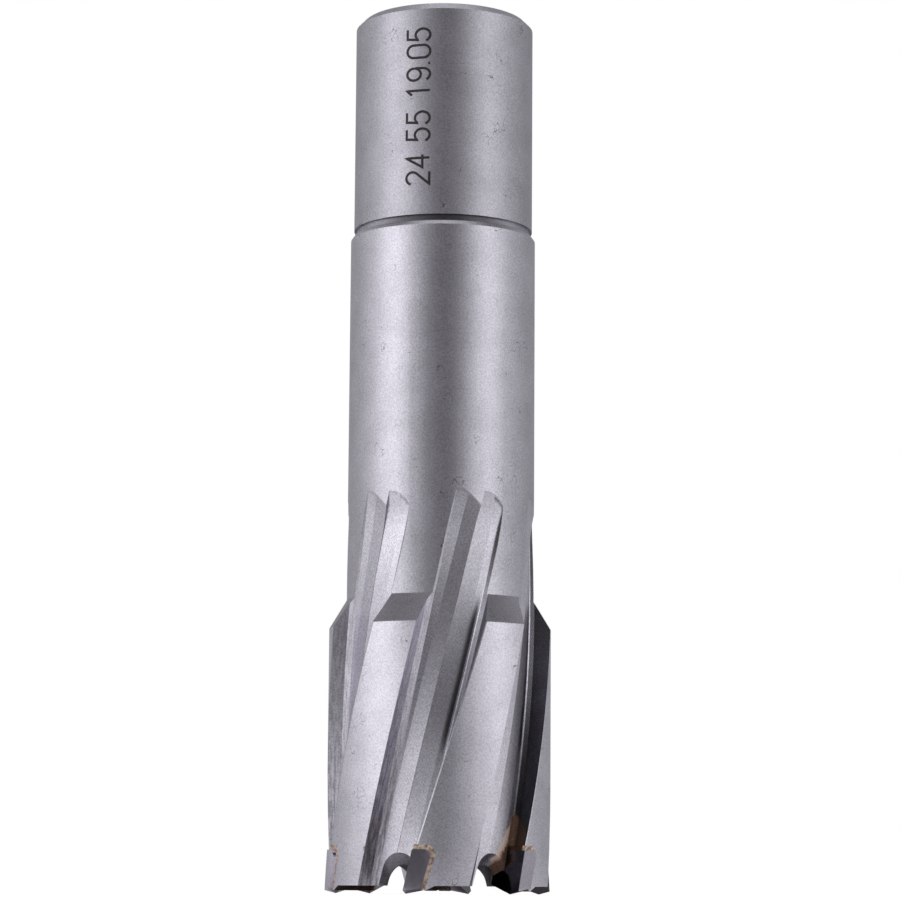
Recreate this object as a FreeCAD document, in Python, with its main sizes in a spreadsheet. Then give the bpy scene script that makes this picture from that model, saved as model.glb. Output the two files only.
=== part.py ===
import FreeCAD, Part
import os
import Sketcher

# An annular cutter with brazed carbide teeth, standing on its teeth.
# Millimetres and degrees. Z = 0 is the plane of the lowest tooth points, +Z runs up the
# axis to the shank end, and azimuth 0 is -Y, counted counter-clockwise seen from above.

doc = FreeCAD.newDocument("annular_cutter")
sheet = doc.addObject("Spreadsheet::Sheet", "Size")

SIZES = (
    # Turned blank: shank, groove, body and cutting head
    ("overall_length", 93.0, "tooth points to shank end"),
    ("shank_diameter", 19.05, "three-quarter inch shank"),
    ("shank_length", 23.54, "groove and plain shank"),
    ("shank_end_chamfer", 0.77, "45 degree edge at the shank end"),
    ("groove_width", 0.67, "grinding groove under the shank"),
    ("groove_depth", 0.3, "radial depth of that groove"),
    ("body_diameter", 19.7, "plain body above the flutes"),
    ("body_edge_height", 0.45, "bevel from the body up to the shank"),
    ("land_clearance", 0.35, "steel lands inside the cutting diameter, radial"),
    ("head_height", 27.47, "top of the full head"),
    ("neck_height", 3.0, "cone from the head up to the body"),
    ("end_face_height", 0.8, "steel end above the tooth points"),
    # Bores
    ("core_diameter", 15.6, "core of metal that the teeth cut free"),
    ("cup_clearance", 0.15, "inside of the cup clear of the core, radial"),
    ("cup_depth", 57.0, "from the tooth points"),
    ("pilot_diameter", 8.05, "through bore for an 8 mm pilot pin"),
    ("pilot_chamfer", 0.5, "its edge at the shank end"),
    # Two clamp flats on the shank
    ("flat_depth", 1.0, "below the shank surface"),
    ("flat_length", 11.0, "along the shank"),
    ("flat_centre", 10.5, "from the shank end to the middle of a flat"),
    ("flat_azimuth", 153.0, "middle of the first flat"),
    ("flat_spacing", 90.0, "from the first flat to the second"),
    # Flutes, common to both milling passes
    ("teeth", 6, "number of teeth and of flutes"),
    ("flute_bottom", -1.0, "lowest section of a flute cut"),
    ("flute_top", 43.2, "highest section of a flute cut"),
    ("flute_overrun", 1.4, "cuts run past the cutting diameter, radial"),
    ("runout_radius", 25.0, "radius of the milling cutter"),
    ("flute_corner", 0.45, "bevel between a floor and its wall, along both"),
    # Pass along the cutting side of a flute
    ("rake_azimuth", -18.4, "land edge at Z = 0"),
    ("rake_twist", 1.53, "turn per millimetre of height"),
    ("rake_lean", 16.9, "wall off radial at Z = 0, edge leading"),
    ("rake_lean_fall", 0.3, "less lean per millimetre of height"),
    ("rake_foot_radius", 9.47, "floor at the rake wall"),
    ("rake_far_radius", 9.4, "floor at the ridge"),
    ("ridge_azimuth", -32.5, "ridge between the two floors at Z = 0"),
    ("ridge_twist", 1.45, "its turn per millimetre of height"),
    ("rake_foot_end", 39.3, "height where the foot meets the body"),
    ("rake_far_end", 41.25, "height where the far side meets the body"),
    # Pass along the trailing side of the land in front
    ("back_azimuth", -45.4, "land edge at Z = 0"),
    ("back_twist", 1.215, "turn per millimetre of height"),
    ("back_foot_span", 2.4, "land edge to the foot of the wall"),
    ("back_foot_radius", 9.75, "floor at the wall"),
    ("back_far_radius", 9.48, "floor at its other side"),
    ("back_floor_span", 23.7, "land edge to the far side of the floor"),
    ("back_foot_end", 41.0, "height where the foot meets the body"),
    ("back_far_end", 39.3, "height where the far side meets the body"),
    # Carbide tips
    ("cut_diameter", 24.0, "over the tips"),
    ("tip_azimuth", -17.6, "cutting edge of the first tip at Z = 0"),
    ("tip_height", 4.43, "to the top of a tip"),
    ("tip_width", 1.78, "along the circle, at the cutting edge"),
    ("tip_lean", 12.7, "rake face off upright"),
    ("tip_back_lean", 16.3, "back face off upright"),
    ("tip_corner_radius", 1.0, "upper back corner"),
    ("crest_setback", 1.2, "point of the edge inside the cutting diameter, radial"),
    ("edge_outer_rise", 0.3, "edge above the point at the outside"),
    ("edge_inner_rise", 0.95, "edge above the point at the inner end"),
    ("edge_clearance", 10.0, "relief behind the edge"),
    # Braze
    ("braze_back", 0.33, "behind a tip"),
    ("braze_top", 0.5, "above a tip"),
    ("braze_bottom", 0.35, "lowest braze above the tooth points"),
    # Heel of steel behind each tip
    ("heel_length", 1.0, "along the circle"),
    ("heel_height", 0.5, "below the end face"),
    # Chip gullet in front of each tip
    ("gullet_radius", 1.8, "arch of the notch"),
    ("gullet_height", 4.26, "top of the arch at the floor of the flute"),
    ("gullet_overlap", 0.05, "past the rake face of the tip, behind it"),
    ("gullet_lean", 17.0, "leading wall off upright"),
    ("gullet_slope", 40.0, "fall of the roof towards the axis"),
    ("gullet_floor_radius", 9.45, "radius at which its height is measured"),
)
FLUTE_SECTIONS = 14

# Sizes that follow from others
LAND_RADIUS = "(Size.cut_diameter / 2 - Size.land_clearance)"
CUP_RADIUS = "(Size.core_diameter / 2 + Size.cup_clearance)"
CREST_RADIUS = "(Size.cut_diameter / 2 - Size.crest_setback)"
REACH = "(Size.cut_diameter / 2 + Size.flute_overrun)"
SHOULDER = "(Size.overall_length - Size.shank_length)"
HEEL_BOTTOM = "(Size.end_face_height - Size.heel_height)"

for row, (alias, value, note) in enumerate(SIZES, 1):
    sheet.set(f"A{row}", alias)
    sheet.set(f"B{row}", str(value))
    sheet.set(f"C{row}", note)
    sheet.setAlias(f"B{row}", alias)
doc.recompute()


# Sketching helpers

def value_of(expression):
    """The present value of an expression in the sheet's sizes."""
    return float(sheet.evalExpression(expression))


def draw_outline(sketch, corners, arc=None):
    """Draws a closed outline through corners, each a pair of expressions, and ties it to them.

    arc, if given, is (i, radius, centre): the side that starts at corner i is then an
    arc of that radius about a point near centre, and all other sides are straight.
    """
    places = [FreeCAD.Vector(value_of(x), value_of(y), 0) for x, y in corners]
    count = len(places)
    for i in range(count):
        start, end = places[i], places[(i + 1) % count]
        if arc and arc[0] == i:
            centre = FreeCAD.Vector(value_of(arc[2][0]), value_of(arc[2][1]), 0)
            radius = value_of(arc[1])
            middle = (start + end) * 0.5 - centre
            if middle.Length < radius * 0.01:
                middle = FreeCAD.Vector(end.y - start.y, start.x - end.x, 0)
            crown = centre + middle.normalize() * radius
            sketch.addGeometry(Part.Arc(start, crown, end))
        else:
            sketch.addGeometry(Part.LineSegment(start, end))
    for i in range(count):
        after = (i + 1) % count
        ends = [2, 1]
        for k, side in enumerate((i, after)):
            if arc and arc[0] == side:
                first = sketch.Geometry[side].StartPoint
                starts_here = (first - places[side]).Length < 1e-6
                ends[k] = ends[k] if starts_here else 3 - ends[k]
        sketch.addConstraint(Sketcher.Constraint("Coincident", i, ends[0], after, ends[1]))
    for i, (x, y) in enumerate(corners):
        vertex = 1
        if arc and arc[0] == i and (sketch.Geometry[i].StartPoint - places[i]).Length > 1e-6:
            vertex = 2
        for kind, name, expression in (("DistanceX", "x", x), ("DistanceY", "y", y)):
            index = sketch.addConstraint(
                Sketcher.Constraint(kind, -1, 1, i, vertex, value_of(expression)))
            sketch.renameConstraint(index, f"{name}{i}")
            sketch.setExpression(f"Constraints.{name}{i}", expression)
    if arc:
        index = sketch.addConstraint(Sketcher.Constraint("Radius", arc[0], value_of(arc[1])))
        sketch.renameConstraint(index, "arc_radius")
        sketch.setExpression("Constraints.arc_radius", arc[1])


def plane_of(body, role):
    """An origin plane of a body, found by its role."""
    return next(f for f in body.Origin.OriginFeatures if f.Role == role)


def body_sketch(body, name, role, offset=None):
    """A sketch on an origin plane of a body; offset is an expression for a placement."""
    sketch = body.newObject("Sketcher::SketchObject", name)
    sketch.AttachmentSupport = [(plane_of(body, role), "")]
    sketch.MapMode = "FlatFace"
    if offset:
        sketch.setExpression("AttachmentOffset", offset)
    return sketch


def polar_pattern(body, name, originals, count, angle):
    """Repeats features of a body about its axis."""
    pattern = body.newObject("PartDesign::PolarPattern", name)
    pattern.Originals = originals
    pattern.Refine = False
    pattern.Axis = (plane_axis(body), [""])
    pattern.setExpression("Occurrences", count)
    pattern.setExpression("Angle", angle)
    body.Tip = pattern
    return pattern


def plane_axis(body):
    """The upright axis of a body."""
    return next(f for f in body.Origin.OriginFeatures if f.Role == "Z_Axis")


# Outlines in the tooth frame: x along the circle from the cutting edge, y up

LEAN = "tan(Size.tip_lean)"
BACK_LEAN = "tan(Size.tip_back_lean)"
BELOW = "-0.6"


def tip_outline(grow_back="0", grow_top="0", bottom=BELOW):
    """Corners of a tip seen from outside, grown by the braze behind and above it.

    The upper back corner is an arc tangent to the top and to the leaning back.
    """
    top = f"(Size.tip_height + {grow_top})"
    back = f"(Size.tip_width + {grow_back} / cos(Size.tip_back_lean))"
    radius = f"(Size.tip_corner_radius + {grow_back})"
    setback = f"({radius} * tan((90 - Size.tip_back_lean) / 2))"
    corner = f"({back} + {top} * {BACK_LEAN})"
    corners = [
        (f"{bottom} * {LEAN}", bottom),
        (f"{back} + {bottom} * {BACK_LEAN}", bottom),
        (f"{corner} - {setback} * sin(Size.tip_back_lean)",
         f"{top} - {setback} * cos(Size.tip_back_lean)"),
        (f"{corner} - {setback}", top),
        (f"{top} * {LEAN}", top),
    ]
    centre = (f"{corner} - {setback}", f"{top} - {radius}")
    return corners, (2, radius, centre)


# Cutter body: turned, fluted, gulleted and pocketed from one bar of steel

cutter = doc.addObject("PartDesign::Body", "cutter_body")
cutter.Label = "cutter_body"

profile = body_sketch(cutter, "turned_profile", "XZ_Plane")
draw_outline(profile, [
    (CUP_RADIUS, HEEL_BOTTOM),
    (LAND_RADIUS, HEEL_BOTTOM),
    (LAND_RADIUS, "Size.head_height"),
    ("Size.body_diameter / 2", "Size.head_height + Size.neck_height"),
    ("Size.body_diameter / 2", f"{SHOULDER} - Size.body_edge_height"),
    ("Size.shank_diameter / 2", SHOULDER),
    ("Size.shank_diameter / 2 - Size.groove_depth", SHOULDER),
    ("Size.shank_diameter / 2 - Size.groove_depth", f"{SHOULDER} + Size.groove_width"),
    ("Size.shank_diameter / 2", f"{SHOULDER} + Size.groove_width"),
    ("Size.shank_diameter / 2", "Size.overall_length - Size.shank_end_chamfer"),
    ("Size.shank_diameter / 2 - Size.shank_end_chamfer", "Size.overall_length"),
    ("Size.pilot_diameter / 2 + Size.pilot_chamfer", "Size.overall_length"),
    ("Size.pilot_diameter / 2", "Size.overall_length - Size.pilot_chamfer"),
    ("Size.pilot_diameter / 2", "Size.cup_depth"),
    (CUP_RADIUS, "Size.cup_depth"),
])
blank = cutter.newObject("PartDesign::Revolution", "turned_blank")
blank.Profile = profile
blank.ReferenceAxis = (profile, ["V_Axis"])
blank.Angle = 360.0
doc.recompute()

# Clamp flats: two shallow flats on the shank for the clamping screws
FLAT_TURN = "create(<<rotation>>; vector(0;1;0); Size.flat_azimuth)"
flat_sketch = body_sketch(
    cutter, "clamp_flat_outline", "XZ_Plane",
    f"placement({FLAT_TURN} * vector(0;0;Size.shank_diameter / 2 - Size.flat_depth);"
    f" {FLAT_TURN})")
FLAT_MIDDLE = "Size.overall_length - Size.flat_centre"
draw_outline(flat_sketch, [
    ("-Size.shank_diameter / 2", f"{FLAT_MIDDLE} - Size.flat_length / 2"),
    ("Size.shank_diameter / 2", f"{FLAT_MIDDLE} - Size.flat_length / 2"),
    ("Size.shank_diameter / 2", f"{FLAT_MIDDLE} + Size.flat_length / 2"),
    ("-Size.shank_diameter / 2", f"{FLAT_MIDDLE} + Size.flat_length / 2"),
])
flat = cutter.newObject("PartDesign::Pocket", "clamp_flat")
flat.Profile = flat_sketch
flat.Reversed = True
flat.setExpression("Length", "Size.flat_depth * 2")
doc.recompute()
polar_pattern(cutter, "clamp_flats", [flat], "2", "Size.flat_spacing")
doc.recompute()


def runout(height, end, radius):
    """Radius of a floor corner at a height: level, then rising on the milling cutter's arc
    so that it meets the body surface at the height named end."""
    depth = f"(Size.body_diameter / 2 - {radius})"
    start = f"({end} - sqrt(2 * Size.runout_radius * {depth}))"
    return f"({radius} + max(0; {height} - {start}) ^ 2 / (2 * Size.runout_radius))"


def on_the_way(start, end, distance):
    """The point at a distance from start on the way to end, all in expressions."""
    along = [f"({b} - {a})" for a, b in zip(start, end)]
    share = f"({distance} / sqrt({along[0]} ^ 2 + {along[1]} ^ 2))"
    return tuple(f"{a} + {step} * {share}" for a, step in zip(start, along))


def bevelled_foot(wall_top, foot, far):
    """Outline from the top of a wall to the far side of its floor. The milling cutter's
    bevelled corner takes the place of the sharp foot between them."""
    return [
        wall_top,
        on_the_way(foot, wall_top, "Size.flute_corner"),
        on_the_way(foot, far, "Size.flute_corner"),
        far,
    ]


def rake_section(height):
    """Corners of the rake-side pass, in a frame turned with the land edge. The y axis of
    the frame points to the cutter's axis, so that a radius counts as negative."""
    edge = LAND_RADIUS
    foot = runout(height, "Size.rake_foot_end", "Size.rake_foot_radius")
    far = runout(height, "Size.rake_far_end", "Size.rake_far_radius")
    lean = f"(Size.rake_lean - Size.rake_lean_fall * {height})"
    span = ("(Size.rake_azimuth - Size.ridge_azimuth"
            f" + (Size.rake_twist - Size.ridge_twist) * {height})")
    return bevelled_foot(
        (f"({edge} - {REACH}) * tan({lean})", f"-{REACH}"),
        (f"({edge} - {foot}) * tan({lean})", f"-{foot}"),
        (f"-{far} * sin({span})", f"-{far} * cos({span})"),
    ) + [(f"-{REACH} * sin({span})", f"-{REACH} * cos({span})")]


def back_section(height):
    """Corners of the pass behind the land in front, in a frame turned with its edge."""
    edge = LAND_RADIUS
    foot = runout(height, "Size.back_foot_end", "Size.back_foot_radius")
    far = runout(height, "Size.back_far_end", "Size.back_far_radius")
    near, span = "Size.back_foot_span", "Size.back_floor_span"
    wall = f"({edge} - Size.back_foot_radius)"
    lean = f"(Size.back_foot_radius * sin({near}) / {wall})"
    return bevelled_foot(
        (f"({edge} - {REACH}) * {lean}", f"-{REACH}"),
        (f"({edge} - {foot}) * {lean}", f"-{foot}"),
        (f"{far} * sin({span})", f"-{far} * cos({span})"),
    ) + [(f"{REACH} * sin({span})", f"-{REACH} * cos({span})")]


def helical_pass(name, corners_at, azimuth, twist):
    """Lofts one milling pass through level sections that turn with their height."""
    sections = []
    for i in range(FLUTE_SECTIONS):
        height = (f"(Size.flute_bottom + (Size.flute_top - Size.flute_bottom)"
                  f" * {i} / {FLUTE_SECTIONS - 1})")
        section = body_sketch(
            cutter, f"{name}_section_{i + 1}", "XY_Plane",
            f"placement(vector(0;0;{height}); create(<<rotation>>; vector(0;0;1);"
            f" {azimuth} + {twist} * {height}))")
        draw_outline(section, corners_at(height))
        sections.append(section)
    loft = cutter.newObject("PartDesign::SubtractiveLoft", name)
    loft.Profile = sections[0]
    loft.Sections = sections[1:]
    loft.Ruled = False
    loft.Refine = False
    doc.recompute()
    return loft


rake_pass = helical_pass("rake_pass", rake_section, "Size.rake_azimuth", "Size.rake_twist")
back_pass = helical_pass("back_pass", back_section, "Size.back_azimuth", "Size.back_twist")
polar_pattern(cutter, "flutes", [rake_pass, back_pass], "Size.teeth", "360")
doc.recompute()


def tooth_offset(radius):
    """Placement of an upright plane that faces outwards at the first tooth."""
    turn = "create(<<rotation>>; vector(0;1;0); Size.tip_azimuth)"
    return f"placement({turn} * vector(0;0;{radius}); {turn})"


# End relief: the end face behind a tip, down to a sloping heel that backs the braze
BACK_AT_HEEL = ("(Size.tip_width + Size.braze_back / cos(Size.tip_back_lean)"
                f" + {HEEL_BOTTOM} * {BACK_LEAN})")
relief_sketch = body_sketch(
    cutter, "relief_outline", "XZ_Plane", tooth_offset(f"{CUP_RADIUS} * 2 / 3"))
draw_outline(relief_sketch, [
    (f"{BACK_AT_HEEL} - Size.heel_length", "Size.end_face_height - 2 * Size.heel_height"),
    (f"{BACK_AT_HEEL} + Size.heel_length", "Size.end_face_height"),
    (f"{LAND_RADIUS} * 0.8", "Size.end_face_height"),
    (f"{LAND_RADIUS} * 0.8", "Size.end_face_height - 2 * Size.heel_height"),
])
relief = cutter.newObject("PartDesign::Pocket", "end_relief")
relief.Profile = relief_sketch
relief.Reversed = True
relief.setExpression("Length", f"{REACH} - {CUP_RADIUS} * 2 / 3")

# Gullet: an arched notch right through the wall, its roof falling inwards. Its trailing
# side runs along the rake face of the tip and is tangent to the arch.
GULLET_CENTRE = "(Size.gullet_height - Size.gullet_radius)"
GULLET_MIDDLE = (f"(Size.gullet_overlap + {GULLET_CENTRE} * {LEAN}"
                 " - Size.gullet_radius / cos(Size.tip_lean))")
REACH_DOWN = "(Size.gullet_radius * 3)"
gullet_sketch = body_sketch(
    cutter, "gullet_outline", "XZ_Plane", tooth_offset("Size.gullet_floor_radius"))
draw_outline(gullet_sketch, [
    (f"Size.gullet_overlap - {REACH_DOWN} * {LEAN}", f"-{REACH_DOWN}"),
    (f"{GULLET_MIDDLE} + Size.gullet_radius * cos(Size.tip_lean)",
     f"{GULLET_CENTRE} - Size.gullet_radius * sin(Size.tip_lean)"),
    (f"{GULLET_MIDDLE} - Size.gullet_radius * cos(Size.gullet_lean)",
     f"{GULLET_CENTRE} + Size.gullet_radius * sin(Size.gullet_lean)"),
    (f"{GULLET_MIDDLE} - Size.gullet_radius / cos(Size.gullet_lean)"
     f" - ({GULLET_CENTRE} + {REACH_DOWN}) * tan(Size.gullet_lean)", f"-{REACH_DOWN}"),
], arc=(1, "Size.gullet_radius", (GULLET_MIDDLE, GULLET_CENTRE)))
gullet = cutter.newObject("PartDesign::Pocket", "gullet")
gullet.Profile = gullet_sketch
gullet.UseCustomVector = True
gullet.AlongSketchNormal = False
gullet.Midplane = True
gullet.setExpression("Direction.x", "sin(Size.tip_azimuth) * cos(Size.gullet_slope)")
gullet.setExpression("Direction.y", "-cos(Size.tip_azimuth) * cos(Size.gullet_slope)")
gullet.setExpression("Direction.z", "sin(Size.gullet_slope)")
gullet.setExpression("Length", f"({REACH} - Size.gullet_floor_radius) * 2.5")

# Clearance: no steel of the rake wall stands in front of a tip
clearance_sketch = body_sketch(
    cutter, "clearance_outline", "XZ_Plane", tooth_offset("Size.rake_far_radius"))
draw_outline(clearance_sketch, [
    (f"{BELOW} * {LEAN}", BELOW),
    (f"Size.tip_height * {LEAN}", "Size.tip_height"),
    ("-Size.gullet_radius", "Size.tip_height"),
    ("-Size.gullet_radius", BELOW),
])
clearance = cutter.newObject("PartDesign::Pocket", "tip_face_clearance")
clearance.Profile = clearance_sketch
clearance.Reversed = True
clearance.setExpression("Length", f"{REACH} - Size.rake_far_radius")

# Pocket: the seat of a tip and its braze
pocket_sketch = body_sketch(
    cutter, "pocket_outline", "XZ_Plane", tooth_offset(f"{CUP_RADIUS} / 2"))
corners, arc = tip_outline("Size.braze_back", "Size.braze_top", f"({BELOW})")
draw_outline(pocket_sketch, corners, arc)
pocket = cutter.newObject("PartDesign::Pocket", "tip_pocket")
pocket.Profile = pocket_sketch
pocket.Reversed = True
pocket.setExpression("Length", f"{REACH} - {CUP_RADIUS} / 2")
doc.recompute()
polar_pattern(cutter, "toothed_end", [relief, gullet, clearance, pocket], "Size.teeth", "360")
doc.recompute()


# Loose pieces: six carbide tips and the braze that holds each of them

def extrusion(name, corners, arc, facing, direction, length, start="0"):
    """A prism of an outline on an upright plane through the axis."""
    sketch = doc.addObject("Sketcher::SketchObject", f"{name}_outline")
    draw_outline(sketch, corners, arc)
    sketch.setExpression("Placement", facing)
    prism = doc.addObject("Part::Extrusion", name)
    prism.Base = sketch
    prism.DirMode = "Custom"
    prism.Solid = True
    for axis, component in zip("xyz", direction):
        prism.setExpression(f"Dir.{axis}", component)
    prism.setExpression("LengthFwd", length)
    return prism


def cylinder(name, radius, bottom, height):
    """A round bar on the cutter's axis."""
    bar = doc.addObject("Part::Cylinder", name)
    bar.setExpression("Radius", radius)
    bar.setExpression("Height", height)
    bar.setExpression("Placement.Base.z", bottom)
    return bar


def turn_to_tooth(piece, k):
    """Turns a finished piece about the axis to tooth k."""
    piece.setExpression(
        "Placement",
        "placement(vector(0;0;0); create(<<rotation>>; vector(0;0;1);"
        f" Size.tip_azimuth + {k} * 360 / Size.teeth))")


FACING_OUT = "placement(vector(0;0;0); rotation(0; 0; 90))"
ALONG_RADIUS = "placement(vector(0;0;0); rotation(-90; 0; 90))"
OUTWARDS = ("0", "-1", "0")
TRAILING = ("cos(Size.edge_clearance)", "0", "sin(Size.edge_clearance)")


def make_tip(k):
    """Carbide tip: its side outline and its vee edge, both extruded, within the cutting
    diameter. The edge is extruded along the clearance, which relieves it behind."""
    corners, arc = tip_outline()
    side = extrusion(f"tip_{k + 1}_side", corners, arc, FACING_OUT, OUTWARDS,
                     REACH)
    edge = extrusion(f"tip_{k + 1}_edge", [
        ("Size.core_diameter / 2", "Size.edge_inner_rise"),
        (CREST_RADIUS, "0"),
        (REACH, f"Size.edge_outer_rise * ({REACH} - {CREST_RADIUS}) / Size.crest_setback"),
        (REACH, "Size.tip_height * 1.2"),
        ("Size.core_diameter / 2", "Size.tip_height * 1.2"),
    ], None, ALONG_RADIUS, TRAILING, "Size.tip_height")
    outside = cylinder(f"tip_{k + 1}_outside", "Size.cut_diameter / 2", "-1",
                       "Size.tip_height * 2")
    tip = doc.addObject("Part::MultiCommon", f"carbide_tip_{k + 1}")
    tip.Shapes = [side, edge, outside]
    turn_to_tooth(tip, k)
    return tip


def make_braze(k):
    """Braze joint: the band left in the pocket behind and above the tip, flush with the
    land outside and with the cup inside."""
    outer, outer_arc = tip_outline("Size.braze_back", "Size.braze_top",
                                   "Size.braze_bottom")
    inner, inner_arc = tip_outline()
    seat = extrusion(f"braze_{k + 1}_seat", outer, outer_arc, FACING_OUT, OUTWARDS,
                     REACH)
    tip_space = extrusion(f"braze_{k + 1}_tip_space", inner, inner_arc, FACING_OUT,
                          OUTWARDS, f"{REACH} * 1.1")
    land = cylinder(f"braze_{k + 1}_land", LAND_RADIUS, "-1",
                    "Size.tip_height * 2")
    core = cylinder(f"braze_{k + 1}_core", CUP_RADIUS, "-2",
                    "Size.tip_height * 3")
    within = doc.addObject("Part::MultiCommon", f"braze_{k + 1}_within")
    within.Shapes = [seat, land]
    hollow = doc.addObject("Part::Cut", f"braze_{k + 1}_hollow")
    hollow.Base = within
    hollow.Tool = core
    joint = doc.addObject("Part::Cut", f"braze_joint_{k + 1}")
    joint.Base = hollow
    joint.Tool = tip_space
    turn_to_tooth(joint, k)
    return joint


pieces = [cutter]
for k in range(round(value_of("Size.teeth"))):
    pieces.append(make_tip(k))
    pieces.append(make_braze(k))
doc.recompute()

# Every object has to be sound before anything is written
for item in doc.Objects:
    if "Invalid" in item.State or "Error" in item.State:
        raise RuntimeError(f"{item.Name} did not compute: {item.State}")
for piece in pieces:
    if piece.Shape.isNull() or not piece.Shape.isValid() or len(piece.Shape.Solids) != 1:
        raise RuntimeError(f"{piece.Label} is not one valid solid")

os.makedirs("parts", exist_ok=True)
for piece in pieces:
    piece.Shape.exportStep(f"parts/{piece.Label}.step")
    print(f"{piece.Label}: {piece.Shape.Volume:.2f} mm3")
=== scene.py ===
import math

import bpy
import numpy as np
from mathutils import Matrix, Vector


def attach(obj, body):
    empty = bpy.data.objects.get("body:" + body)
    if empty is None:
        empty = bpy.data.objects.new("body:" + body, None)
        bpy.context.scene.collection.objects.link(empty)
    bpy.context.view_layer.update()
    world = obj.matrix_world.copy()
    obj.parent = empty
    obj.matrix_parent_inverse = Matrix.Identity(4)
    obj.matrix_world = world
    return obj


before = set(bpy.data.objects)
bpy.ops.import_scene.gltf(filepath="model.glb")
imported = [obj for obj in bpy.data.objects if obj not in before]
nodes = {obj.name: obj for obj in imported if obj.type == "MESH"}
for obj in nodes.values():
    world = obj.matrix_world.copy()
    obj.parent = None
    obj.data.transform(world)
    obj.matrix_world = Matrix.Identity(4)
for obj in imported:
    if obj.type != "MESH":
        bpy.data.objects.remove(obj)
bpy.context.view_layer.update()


# Camera: it stands low in front of the teeth and looks slightly up the tool, as in the
# photograph. Its place and lens were fitted to the edges and ellipses of the tool.

MM = 0.001
LENS_PIXELS, FRAME_PIXELS = 3026.45, 900
SENSOR_WIDTH = 36.0
CAMERA_DISTANCE, CAMERA_HEIGHT = 317.903 * MM, 0.25 * MM
PITCH, YAW, ROLL = 0.144870, 0.002861, 0.007250

scene = bpy.context.scene
camera_data = bpy.data.cameras.new("camera")
camera_data.sensor_width = SENSOR_WIDTH
camera_data.lens = LENS_PIXELS / FRAME_PIXELS * SENSOR_WIDTH
camera_data.clip_start, camera_data.clip_end = 0.01, 20.0
camera = bpy.data.objects.new("camera", camera_data)
scene.collection.objects.link(camera)
forward = Vector((math.sin(YAW) * math.cos(PITCH), math.cos(YAW) * math.cos(PITCH),
                  math.sin(PITCH)))
level_right = Vector((math.cos(YAW), -math.sin(YAW), 0))
level_up = level_right.cross(forward)
right = math.cos(ROLL) * level_right + math.sin(ROLL) * level_up
up = right.cross(forward)
camera.matrix_world = Matrix((
    (right.x, up.x, -forward.x, 0),
    (right.y, up.y, -forward.y, -CAMERA_DISTANCE),
    (right.z, up.z, -forward.z, CAMERA_HEIGHT),
    (0, 0, 0, 1)))
scene.camera = camera
scene.view_settings.view_transform = "Standard"


# Studio: a pale matt floor, a white surround and two soft lamps at the sides. A drum of
# graded black gauze stands round the tool and gives the steel its bands. It is thin at the
# sides, dense in front and overhead, and seen only in reflections.

FLOOR_HALF, FLOOR_LIFT, WORLD_STRENGTH = 3.0, 0.5, 0.6
WHITE = (1, 1, 1, 1)

SCREEN_RADIUS, SCREEN_HEIGHT, SCREEN_SIDES = 0.9, 1.1, 72
SCREEN_LIGHT = (
    # azimuth from the camera's side, right positive, and the light that the screen lets by
    (-180, 0.35), (-140, 0.35), (-110, 0.5), (-85, 0.85), (-62, 1.0), (-45, 0.9),
    (-28, 0.4), (-12, 0.06), (8, 0.04), (24, 0.25), (42, 0.65), (60, 0.85), (78, 0.72),
    (100, 0.44), (130, 0.34), (180, 0.35),
)

# The lid darkens the upper drum, but not behind the tool nor in an opening over it
LID_LIGHT, LID_HEIGHTS, LID_BEHIND = 0.07, (0.5, 0.95), (0.15, 0.45)
OPENING_LIGHT, OPENING_RADII, OPENING_HEIGHTS = 1.0, (0.3, 0.5), (1.0, 1.05)

# The apron is the gauze on the floor round the tool, thinner than the drum in front
APRON_RADIUS, APRON_HEIGHT = 0.024, 0.3 * MM
APRON_LIGHT, APRON_LIGHT_TOP = 0.95, 0.04
APRON_LIFT, APRON_LIFT_HEIGHTS = 0.3, (0.5 * MM, 1.0 * MM)

LAMP_DISTANCE, LAMP_HEIGHT, LAMP_WIDTH, LAMP_TALL, LAMP_AIM = 0.8, 0.35, 0.5, 0.7, 0.045
LAMPS = (
    # name, azimuth and watts
    ("lamp_left", -62, 0.74),
    ("lamp_right", 58, 0.62),
)

# A mapped range that starts and ends softly and is held beyond its ends
SOFT = {"interpolation_type": "SMOOTHSTEP"}


def linear(hex_colour):
    """sRGB hex value to a linear RGBA tuple: below 0.04045 divided by 12.92, above it the
    2.4 power of (value + 0.055) / 1.055."""
    values = [int(hex_colour[i:i + 2], 16) / 255 for i in (1, 3, 5)]
    return tuple(v / 12.92 if v <= 0.04045 else ((v + 0.055) / 1.055) ** 2.4
                 for v in values) + (1.0,)


def add_node(tree, kind, *values, **settings):
    """Adds a shader node. Values go to its inputs in order. A setting is a property, or an
    input by its identifier with _ for a space. A socket among them is linked, and so is a
    node, by its first output in use."""
    node = tree.nodes.new("ShaderNode" + kind)
    named = {socket.identifier.replace(" ", "_"): socket for socket in node.inputs}
    inputs = list(zip(node.inputs, values))
    for name, value in settings.items():
        if name in named:
            inputs.append((named[name], value))
        else:
            setattr(node, name, value)
    for socket, value in inputs:
        if isinstance(value, bpy.types.Node):
            value = next(output for output in value.outputs if output.enabled)
        if isinstance(value, bpy.types.NodeSocket):
            tree.links.new(value, socket)
        else:
            socket.default_value = value
    return node


def overlap(tree, first, *others):
    """The part that several masks share: each mask times the next."""
    for other in others:
        first = add_node(tree, "Math", first, other, operation="MULTIPLY")
    return first


def new_material(name):
    """An empty node material and its node tree."""
    material = bpy.data.materials.new(name)
    material.use_nodes = True
    material.node_tree.nodes.clear()
    return material, material.node_tree


def new_piece(name, points, faces, material):
    """A mesh object at the origin, with its material."""
    mesh = bpy.data.meshes.new(name)
    mesh.from_pydata(points, [], faces)
    mesh.materials.append(material)
    piece = bpy.data.objects.new(name, mesh)
    scene.collection.objects.link(piece)
    return piece


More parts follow.
